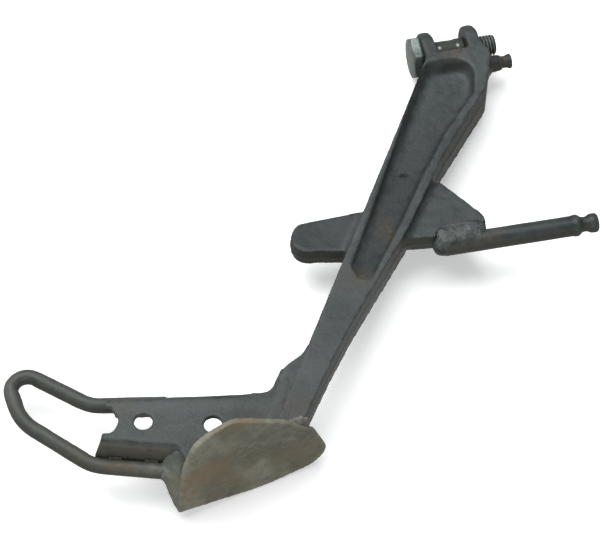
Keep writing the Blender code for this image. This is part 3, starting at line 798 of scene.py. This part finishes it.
def build_bolt(materials):
    """The bolt in old zinc: grease in its thread, grease and painted shade on its shank, painted shade on
    the head's lower side, and painted glints.
    """
    surface = turned_bolt()
    points = surface.points
    worn = 0.05 * grain(points, 2.4, 3, 11.0)
    worn -= 0.35 * bump_at(points, (-20.6, -5.0, 9.6), (2.0, 1.6, 2.5))
    surface.push(worn * (1.0 - smoothstep(14.0, 16.0, points[:, 0])))
    surface.label("edge", np.zeros(surface.count))
    points = surface.points
    along = points[:, 0]
    radius = np.hypot(points[:, 1], points[:, 2])
    thread = along > THREAD_EAR_OUTER - 1.0
    grooves = thread * (1.0 - smoothstep(5.1, 5.85, radius))
    near_ear = bump_at(points[:, :1], HEAD_UNDER, 0.9)
    shank = (along > SLOT_HEAD_SIDE - 1.0) * (along < SHOULDER_END + 0.5)
    corner = bump_at(points[:, :1], SLOT_HEAD_SIDE, 1.5)
    corner += bump_at(points[:, :1], SHOULDER_END, 1.4)
    low_side = 1.0 - smoothstep(-7.0, 1.0, points[:, 1])
    # Grease in the thread; grease and painted shade on the shank and beside the ears; painted shade on
    # the head's lower side
    surface.label("recess", grooves + near_ear * 0.8 + shank * 0.95 + corner + thread * 0.35
                  + 0.55 * low_side * (along < HEAD_UNDER))
    rust = shank * 0.25 + 0.5 * bump_at(points, (-20.0, -9.0, -3.0), (4.0, 4.0, 6.0))
    # Painted glints: two pale patches on the shoulder
    glints = spots(points, (
        (0.8, (-6.8, -1.6, 6.7), (0.65, 0.75, 1.1)),
        (0.8, (3.6, -1.8, 6.7), (0.6, 0.8, 1.1))))
    surface.labels(rust, glints)
    piece = finish_piece(surface, "pivot_bolt_steel", materials["zinc"],
                         "pivot_bolt", "pivot")
    piece.data.set_sharp_from_angle(angle=math.radians(28.0))


def build_spring_post(materials):
    """Short post beside the thread: wide foot fillet, groove and flared tip."""
    groove_and_tip = ((6.9, 4.45), (6.1, 4.2), (5.5, 3.55), (4.6, 3.32), (3.4, 3.38), (2.2, 3.7),
                      (1.3, 4.1), (0.6, 4.25), (0.2, 4.15), (0.0, 3.8), (0.0, 0.0))
    profile = [(0.0, 0.0), (0.0, 4.9), (2.0, 4.8), (4.6, 4.6)]
    profile += [(POST_LENGTH - before_tip, radius) for before_tip, radius in groove_and_tip]
    surface = turned_surface("post", profile)
    surface.points += np.array((POST_SHOULDER + 0.1, POST_Y, 0.0))
    surface.smooth(2)
    surface.push(0.06 * grain(surface.points, 2.2, 3, 21.0))
    points = label_wear(surface, 14.0)
    rust = spots(points[:, :1], (
        (0.75, POST_SHOULDER + 8.4, 2.0),
        (0.35, POST_SHOULDER + 1.0, 2.0)))
    pale = 0.7 * bump_at(points, (POST_SHOULDER + 6.9, POST_Y - 2.8, 3.4), (0.8, 1.0, 1.0))
    surface.labels(rust, pale, 0.5)
    finish_piece(surface, "spring_post_steel", materials["anchor"], "upper_spring_post")


def build_spring_pin(materials):
    """Long pin with a collar, a neck for the spring's hook and a rounded head."""
    collar_and_head = ((14.4, 5.5), (13.4, 5.62), (12.8, 5.88), (11.6, 5.9), (10.8, 5.65),
                       (10.0, 5.0), (9.2, 4.3), (8.2, 4.02), (6.6, 3.98), (5.8, 4.2), (5.0, 4.75),
                       (4.2, 5.1), (3.0, 5.22), (1.4, 5.2), (0.6, 4.95), (0.1, 4.4), (0.0, 3.8),
                       (0.0, 0.0))
    profile = [(0.0, 0.0), (0.0, PIN_RADIUS - 1.2), (0.4, PIN_RADIUS - 0.4), (1.2, PIN_RADIUS)]
    profile += [(PIN_LENGTH - before_tip, radius) for before_tip, radius in collar_and_head]
    surface = turned_surface("pin", profile, 96, 0.5)
    surface.smooth(2)
    turn = np.array(Matrix.Rotation(PIN_ANGLE, 3, "Z"))
    surface.points = surface.points @ turn.T + np.array((*PIN_START, 0.0))
    points = surface.points
    surface.push(0.035 * grain(points, 3.0, 3, 31.0) + 0.05 * grain(points, 14.0, 2, 33.0))
    points = label_wear(surface, 14.0)
    rust = spots(points, (
        (0.75, (-21.0, -135.5, 3.6), (10.0, 3.0, 4.5)),
        (0.35, (-36.0, -136.5, 1.0), (8.0, 3.0, 5.0)),
        (0.30, (36.0, -134.0, 3.0), (1.6, 8.0, 8.0))))
    pale = spots(points, (
        (0.35, (-11.0, -131.0, 5.4), (4.0, 2.4, 2.5)),
        (0.30, (-14.0, -137.0, 1.5), (2.5, 1.2, 2.5))))
    surface.labels(rust, pale)
    finish_piece(surface, "spring_pin_steel", materials["anchor"], "long_spring_pin")


# -------- foot

def build_tang(materials):
    """The pressed channel with rolled lips and two fixing holes."""
    lip_fade = capsule((-161.0, -203.2, 2.2), (-149.5, -205.4, 2.2), 1.75, 1.6)
    lip_foot = [capsule((-205.0, -219.6 - drawn_in, level), (-194.5, -224.0 - drawn_in, level), 2.2, 2.2)
                for level, drawn_in in ((1.8, 0.0), (-0.5, 0.8), (-3.0, 1.2), (-5.5, 1.4))]
    surface = dense_surface("tang_plate", 0.5, lip_fade, *lip_foot)
    soften(surface, 4, 8)
    for corner, spread, steps in (((-157.0, -204.0, 2.5), (7.0, 4.5, 6.0), 14),
                                  ((-235.5, -208.5, 3.5), (4.0, 4.0, 5.0), 26),
                                  ((-200.0, -223.0, 2.0), (5.0, 4.0, 6.0), 26)):
        rounding = np.clip(1.6 * bump_at(surface.points, corner, spread), 0.0, 1.0)
        surface.smooth(steps, rounding)
    points = surface.points
    shallow = 0.20 * grain(points, 22.0, 2, 41.0) + 0.055 * grain(points, 2.4, 3, 43.0)
    hammered = spots(points, (
        (0.25, (-170.0, -203.0, PLATE_TOP), (16.0, 3.5, 4.0)),
        (-0.35, (-186.0, -222.0, PLATE_TOP), (16.0, 3.0, 4.0))))
    surface.push(shallow + hammered)
    points = label_wear(surface)
    rust = spots(points, (
        (0.45, (-222.0, -196.0, 3.0), (7.0, 4.0, 6.0)),
        (0.4, (-155.0, -222.0, 4.0), (14.0, 7.0, 5.0)),
        (0.35, (-214.0, -222.0, -8.0), (20.0, 5.0, 7.0))))
    # Painted highlight: a pale diagonal band across the flat top faces
    flat = surface.normals()[:, 2] > 0.8
    band = np.abs((points[:, 0] + 190.0) * 0.215 + (points[:, 1] + 203.0))
    pale = 0.30 * (1.0 - smoothstep(0.5, 6.0, band)) * flat
    pale += 0.25 * bump_at(points, (-196.0, -214.0, 4.0), (12.0, 4.0, 4.0))
    surface.labels(rust, pale, 0.25 * bump_at(points, (-160.0, -213.0, 4.0), (14.0, 6.0, 5.0)))
    finish_piece(surface, "channel_tang", materials["tang"], "tang_plate")


def build_sole(materials):
    """The sole plate, slightly cambered, dented and scraped on its ground face."""
    surface = dense_surface("foot_sole", 0.6)
    surface.smooth(6)
    worn_corner = bump_at(surface.points, (-182.0, -236.0, 32.0), (11.0, 20.0, 10.0))
    surface.points[:, 2] -= 1.8 * worn_corner
    points = surface.points
    along = points[:, 0] - SOLE_TIP[0]
    face = np.clip(-surface.normals()[:, 1], 0.0, 1.0)
    dents = 0.22 * grain(points, 11.0, 3, 51.0) + 0.05 * grain(points, 2.0, 3, 53.0)
    dents -= face * spots(points, (
        (0.55, (-182.0, -238.0, -6.0), (7.0, 6.0, 5.0)),
        (0.40, (-150.0, -231.0, 12.0), (9.0, 6.0, 4.0)),
        (0.40, (-166.0, -235.0, -20.0), (12.0, 6.0, 5.0))))
    worn_rim = smoothstep(26.0, 33.0, points[:, 2]) * face
    surface.push(dents - 0.5 * worn_rim)
    points = label_wear(surface, 10.0)
    rust = spots(points, (
        (1.0, (-185.0, -238.0, -3.0), (11.0, 9.0, 9.0)),
        (0.60, (-198.0, -241.0, -12.0), (7.0, 9.0, 14.0)),
        (0.75, (-166.0, -234.0, 29.0), (16.0, 9.0, 5.0)),
        (0.45, (-172.0, -236.0, -18.0), (12.0, 9.0, 6.0)),
        (0.40, (-140.0, -229.0, -16.0), (12.0, 9.0, 7.0))))
    pale = spots(points, (
        (0.75, (-164.0, -234.0, 8.0), (12.0, 9.0, 12.0)),
        (0.80, (-138.0, -228.0, 2.0), (13.0, 9.0, 9.0)),
        (0.45, (-172.0, -236.0, -20.0), (14.0, 9.0, 7.0))))
    pale += 0.35 * smoothstep(60.0, 80.0, along)
    surface.labels(rust, pale)
    finish_piece(surface, "sole_plate", materials["sole"], "foot_sole")


def build_gusset(materials):
    """The curved wall from the lower lip and the rod's end down to the sole's tip."""
    lip_side = ((-196.0, -221.8, 0.8), (-201.5, -223.4, -2.5), (-205.5, -225.4, -7.0),
                (-206.5, -229.6, -13.5), (-205.2, -234.5, -20.0), (-203.2, -238.5, -27.0))
    sole_side = ((-188.0, -234.5, 1.8), (-192.0, -236.0, -3.0), (-195.8, -236.8, -8.0),
                 (-198.6, -237.8, -14.0), (-200.8, -238.6, -20.0), (-202.4, -239.6, -27.0))
    bars = [capsule(start, end, 2.1, 2.0)
            for start, end in zip(evenly(lip_side, 26), evenly(sole_side, 26))]
    bars.append(capsule((-208.0, -228.2, ROD_LEVEL), (-203.0, -231.0, ROD_LEVEL - 1.0), 3.9, 3.2))
    edge = [(x, sole_face_y(x, 1.7), level)
            for x, level in ((-203.0, -27.5), (-199.2, -8.0), (-197.4, 4.0))]
    bars += chain(edge, (1.5, 1.6, 1.2))
    surface = melted(bars, 0.45)
    surface.smooth(70)
    surface.push(0.32 + 0.15 * grain(surface.points, 6.0, 3, 61.0))
    label_wear(surface)
    # Lighter olive towards the bottom: partly painted light on this down-facing wall
    surface.labels(1.0 - smoothstep(-16.0, 0.0, surface.points[:, 2]))
    finish_piece(surface, "sole_gusset_steel", materials["gusset"], "sole_gusset")


def build_toe_loop(materials):
    """The bent rod: round, a little flattened in its bends, with sawn ends."""
    sides = 48
    spacing = 0.8
    route = rounded_route(ROD_ROUTE, spacing)
    path = np.column_stack([route, np.full(len(route), ROD_LEVEL)])
    distance = arc_length(path)
    from_end = np.minimum(distance, distance[-1] - distance)
    radii = np.full((len(path), sides), ROD_RADIUS)
    radii -= 0.7 * (1.0 - smoothstep(0.0, 1.4, from_end))[:, None]
    heading = np.gradient(path[:, :2], axis=0)
    heading /= np.linalg.norm(heading, axis=1)[:, None]
    bend = np.linalg.norm(np.gradient(heading, axis=0), axis=1) / spacing
    radii -= np.clip(bend * 3.0, 0.0, 0.20)[:, None] * np.cos(around(sides))[None, :] ** 2
    surface = grid_surface("toe_loop_rod", swept_rings(path, radii, sides))
    points = surface.points
    surface.push(0.06 * grain(points, 3.0, 3, 71.0) + 0.10 * grain(points, 16.0, 2, 73.0))
    points = label_wear(surface)
    rust = spots(points, (
        (1.0, (-230.0, -221.5, -7.5), (7.5, 4.0, 3.5)),
        (0.45, (-221.0, -225.0, -8.0), (16.0, 5.0, 4.5)),
        (0.35, (-248.0, -211.0, -8.0), (16.0, 9.0, 6.0))))
    pale = spots(points, (
        (0.50, (-211.5, -227.0, -7.5), (3.4, 3.0, 2.5)),
        (0.45, (-276.5, -166.0, -8.0), (4.0, 10.0, 3.5)),
        (0.25, (-226.0, -222.0, -7.5), (4.0, 2.0, 2.0)),
        (0.42, (-220.0, -224.5, -8.5), (17.0, 6.0, 5.0))))
    surface.labels(rust, pale)
    finish_piece(surface, "toe_loop_rod", materials["loop"], "toe_loop")


# -------- welds

def build_deposit(name, node, bars, material, seed, rust=0.0, pale=0.0, glints=(), smooth=7):
    """A lumpy weld deposit: round bars melted into one another, sunk into what they join."""
    form = melted(bars, 0.4)
    form.smooth(smooth)
    lumps = 0.26 * grain(form.points, 3.0, 3, seed)
    form.push(lumps + 0.08 * grain(form.points, 0.9, 2, seed + 3.0))
    label_wear(form, 4.5)
    form.labels(rust, pale + spots(form.points, glints))
    finish_piece(form, name, material, node)


def build_bead(name, node, route, radius, material, seed):
    """A rippled bead along a route, with rounded ends, sunk into what it joins."""
    sides = 28
    path = resampled(np.array(route, float), 0.22)
    wander = np.stack([grain(path, 3.4, 2, seed + axis * 5.0) for axis in range(3)], axis=1)
    path = path + wander * 0.22 * radius
    distance = arc_length(path)
    from_end = np.minimum(distance, distance[-1] - distance)
    closing = np.sqrt(np.clip(1.0 - (1.0 - np.clip(from_end / radius, 0.0, 1.0)) ** 2, 0.02, 1.0))
    ripple_pitch = 1.25
    lag = 0.9 * np.sin(around(sides)) ** 2 * radius
    ripple = np.sin((distance[:, None] + lag[None, :]) * math.tau / ripple_pitch)
    swell = 1.0 + 0.12 * grain(path, 4.0, 2, seed + 2.0)
    radii = radius * (swell * closing)[:, None] * (1.0 + 0.055 * ripple)
    surface = grid_surface(name, swept_rings(path, radii, sides))
    surface.push(0.10 * radius * grain(surface.points, 1.3, 3, seed + 7.0))
    label_wear(surface, 12.0)
    surface.labels(0.2)
    finish_piece(surface, name, material, node)


def build_fillet(name, node, material):
    """The hollow weld that runs from the leg's left edge down onto the tang."""
    leg_side = LEG_LEFT_EDGE + 0.3
    buried = LEG_LEFT_EDGE + 2.0
    underside = 1.2
    tang_face = PLATE_TOP - 0.06
    rings = []
    for along in np.arange(220.0, 272.1, 0.4):
        reach = 0.6 + 7.4 * smoothstep(219.0, 238.0, along)
        leg_face = 6.95 - (along - 190.0) * 0.012
        drop = (leg_face - tang_face) * smoothstep(219.0, 226.0, along)
        ring = [(leg_side - reach * share, leg_face - drop * (1.0 - (1.0 - share) ** 2))
                for share in np.linspace(0.0, 1.0, 14)]
        ring += [(leg_side - reach, underside), (buried, underside), (buried, leg_face - 0.4)]
        section = np.array([(*leg_point(along, across), level) for across, level in ring])
        sole_back = sole_face_y(section[:, 0], SOLE_THICKNESS - 1.0)
        section[:, 1] = np.maximum(section[:, 1], sole_back)
        rings.append(section)
    surface = grid_surface(name, rings)
    points = surface.points
    surface.push(0.05 * grain(points, 2.4, 3, 105.0) + 0.10 * grain(points, 9.0, 2, 106.0))
    points = label_wear(surface)
    # Painted light: the fillet's slope is lightened all over, more at one spot
    pale = 0.25 + 0.25 * bump_at(points, (-136.5, -199.0, 5.5), (1.6, 3.0, 3.0))
    surface.labels(0.15 * smoothstep(232.0, 250.0, points[:, :2] @ LEG_DOWN), pale)
    finish_piece(surface, name, material, node)


def build_pin_welds(material):
    """The deposits that hold the long pin on the web's face and back."""
    start = np.array((*PIN_START, 0.0))
    ahead = np.array((math.cos(PIN_ANGLE), math.sin(PIN_ANGLE), 0.0))
    beside = np.array((-ahead[1], ahead[0], 0.0))

    def on_pin(along, across, height):
        return tuple(start + ahead * along + beside * across + np.array((0.0, 0.0, height)))

    # Runs along the pin: distance along it, beside it, above its axis, and girth
    runs = (((0.5, 2.2, 4.2, 2.6), (7.0, 2.6, 4.4, 2.4), (14.0, 2.4, 4.6, 2.8), (21.0, 2.8, 4.3, 2.3)),
            ((0.0, 5.0, 4.4, 2.4), (7.0, 5.2, 4.4, 2.5), (15.0, 5.4, 4.5, 2.7), (23.0, 5.4, 4.2, 2.3)),
            ((1.5, 7.6, 4.6, 2.0), (8.0, 8.4, 4.5, 2.1), (15.0, 8.6, 4.5, 2.3), (22.0, 7.6, 4.3, 2.1)),
            ((2.0, -0.6, 2.9, 3.3), (9.0, -0.4, 3.2, 3.1), (16.0, -0.2, 2.9, 3.3), (24.0, 0.6, 2.6, 3.0)))
    # Painted glints: pale patches on the deposits' top
    glints = ((0.45, on_pin(0.0, 3.0, 5.4), (2.4, 2.2, 2.6)),
              (0.35, on_pin(16.0, 4.0, 6.0), (3.6, 2.4, 2.4)))
    for where, side, seed in (("face", 1.0, 101.0), ("back", -1.0, 103.0)):
        bars = []
        for run in runs:
            places = [on_pin(along, across, side * height) for along, across, height, _ in run]
            bars += chain(places, [girth for *_, girth in run])
        if side > 0:
            bars.append(capsule(on_pin(0.2, -0.1, 0.0), on_pin(4.5, 0.1, 0.0), 5.3, 5.6))
        build_deposit(f"bead_pin_{where}", f"weld_pin_{where}", bars, material, seed,
                      pale=0.05, glints=glints, smooth=34)


def build_foot_welds(materials):
    """The welds of the leg, the tang and the gusset."""
    leg_edge = [(*leg_point(along, LEG_LEFT_EDGE - 0.9), 0.6) for along in (229.0, 243.0, 256.0)]
    build_deposit("bead_leg_tang_back", "weld_leg_tang_back", chain(leg_edge, (2.4, 3.4, 3.4)),
                  materials["forged"], 107.0, rust=0.12, smooth=14)
    build_fillet("bead_leg_tang_face", "weld_leg_tang_face", materials["tang"])

    corner_shine = ((0.8, (-135.5, -223.0, 8.0), (2.6, 3.0, 4.0)),)
    for where, side, seed in (("face", 1.0, 109.0), ("back", -1.0, 111.0)):
        places = [behind_sole(x, 0.8, side * level)
                  for x, level in ((-151.0, 6.6), (-143.0, 6.6), (-137.0, 6.4), (-134.8, 4.0))]
        bars = chain(places, (1.0, 1.4, 1.6, 1.6))
        bars += [capsule(behind_sole(-150.0, 0.0, side * level),
                         behind_sole(-135.0, 0.0, side * level), 1.6, 1.7)
                 for level in (5.2, 3.2, 1.2)]
        build_deposit(f"bead_leg_sole_{where}", f"weld_leg_sole_{where}", bars,
                      materials["gusset"], seed, rust=0.8, pale=0.12, glints=corner_shine, smooth=10)

    tang_end = [behind_sole(x, 0.7, PLATE_TOP + 0.6) for x in (-196.0, -180.0, -157.0)]
    build_deposit("bead_tang_sole", "weld_tang_sole", chain(tang_end, (1.8, 1.9, 1.8)),
                  materials["weld"], 113.0, rust=0.35)
    wall = [behind_sole(-193.2, 0.8, -18.0), behind_sole(-191.4, 0.8, -4.0)]
    build_deposit("bead_gusset_sole", "weld_gusset_sole", chain(wall, (1.7, 1.7)),
                  materials["weld"], 115.0, rust=0.4)


def build_loop_welds(material):
    """Two beads between the toe loop and each lip of the tang."""
    for edge, lip, side in (("lower", LOWER_LIP, -1.0), ("upper", UPPER_LIP, 1.0)):
        first, last = (np.array(end) for end in lip)
        run = (last - first) / np.linalg.norm(last - first)
        outward = np.array((-run[1], run[0])) * side * (LIP_OUTER + 0.6)
        for place, distance in (("toe", 3.0), ("foot", 21.0)):
            route = [(*(first + run * (distance + step) + outward), ROD_LEVEL + ROD_RADIUS - 1.7)
                     for step in (0.0, 4.0, 8.0)]
            build_bead(f"bead_loop_{edge}_{place}", f"weld_loop_{edge}_{place}", route, 1.3,
                       material, 117.0 + distance + side)


# -------- studio

def build_studio(floor_level):
    """A pale floor, one large soft lamp above and behind, and an even surround."""
    scene = bpy.context.scene
    half = 3.0
    mesh = bpy.data.meshes.new("studio_floor")
    corners = [(x * half, y * half, floor_level) for x, y in ((-1, -1), (1, -1), (1, 1), (-1, 1))]
    mesh.from_pydata(corners, [], [(0, 1, 2, 3)])
    floor = link("studio_floor", mesh)
    shader = Shader("pale_floor", (0.88, 0.88, 0.88))
    faint = shader.noise(400.0, 2.0, 0.5)
    shader.coat(faint, (0.90, 0.90, 0.90))
    mesh.materials.append(shader.finish(0.9, shader.bump(faint, 0.01), 0.0, 0.2))
    shader.feed(shader.surface, {"Emission Color": (1.0, 1.0, 1.0), "Emission Strength": 0.35})
    floor.visible_diffuse = False
    floor.visible_glossy = False

    # The surround: a cool ceiling and, in the floor's place, a warmer and brighter lower half
    sky = bpy.data.worlds.new("studio_surround")
    sky.use_nodes = True
    nodes = Nodes(sky.node_tree)
    height = nodes.node("SeparateXYZ", {"Vector": nodes.places["Generated"]}).outputs["Z"]
    tone = nodes.mix(nodes.spread(height, -0.25, 0.35), SURROUND_LOW, SURROUND_HIGH)
    nodes.feed(nodes.tree.nodes["Background"], {"Color": tone, "Strength": 1.0})
    scene.world = sky

    def lamp(name, place, target, size, power):
        light = bpy.data.lights.new(name, "AREA")
        light.shape = "SQUARE"
        light.size = size
        light.energy = power
        holder = link(name, light)
        holder.location = place
        aim = Vector(target) - Vector(place)
        holder.rotation_euler = aim.to_track_quat("-Z", "Y").to_euler()

    lamp("overhead_softbox", (-0.45, 0.55, 1.9), (-0.12, -0.12, 0.0), 1.9, 62.0)
    lamp("front_fill", (-0.4, -1.7, 0.8), (-0.12, -0.15, 0.0), 1.2, 9.5)

    scene.view_settings.view_transform = "Standard"
    scene.view_settings.look = "None"


def build_camera():
    """The camera above the foot end, looking down the part, a little from the left."""
    place, target, upward = (Vector(world(point)) for point in (CAMERA_PLACE, CAMERA_AIM, CAMERA_UP))
    back = (place - target).normalized()
    side = upward.cross(back).normalized()
    lens = bpy.data.cameras.new("photo_angle")
    lens.sensor_width = 36.0
    lens.lens = CAMERA_LENS
    camera = link("photo_angle", lens)
    turn = Matrix((side, back.cross(side), back)).transposed().to_4x4()
    camera.matrix_world = Matrix.Translation(place) @ turn
    bpy.context.scene.camera = camera


# -------- assembly

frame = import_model()
cad_low, cad_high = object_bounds()
build_camera()
build_studio(cad_low.z)
finishes = make_materials()
build_leg(finishes)
build_bolt(finishes)
build_spring_post(finishes)
build_spring_pin(finishes)
build_tang(finishes)
build_sole(finishes)
build_gusset(finishes)
build_toe_loop(finishes)
build_pin_welds(finishes["weld"])
build_foot_welds(finishes)
build_loop_welds(finishes["anchor"])

bpy.context.view_layer.update()
